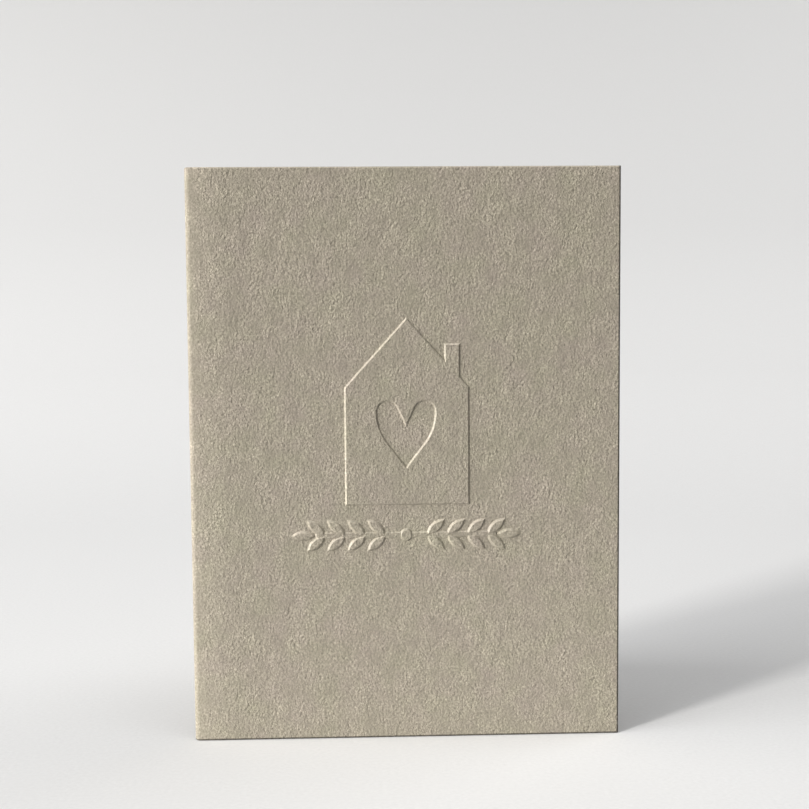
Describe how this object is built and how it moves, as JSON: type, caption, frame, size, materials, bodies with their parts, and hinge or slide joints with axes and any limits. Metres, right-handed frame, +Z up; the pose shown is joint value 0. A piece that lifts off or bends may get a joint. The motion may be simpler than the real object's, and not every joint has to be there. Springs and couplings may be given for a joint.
{
  "type": "greeting card",
  "caption": "Folded greeting card of thick cotton paper, standing open, with a blind embossed house, a sunk heart and a leafy sprig on its front.",
  "frame": {"origin": "on the floor, under the middle of the space that the open card takes up", "axes": "+Z up the fold; the outside of the front panel looks along -Y, with the fold at its left, at -X"},
  "size_m": [0.1142, 0.0674, 0.1524],
  "materials": {
    "cotton_stock": "matte"
  },
  "bodies": {
    "root": {"folded_card": "cotton_stock"}
  },
  "joints": []
}
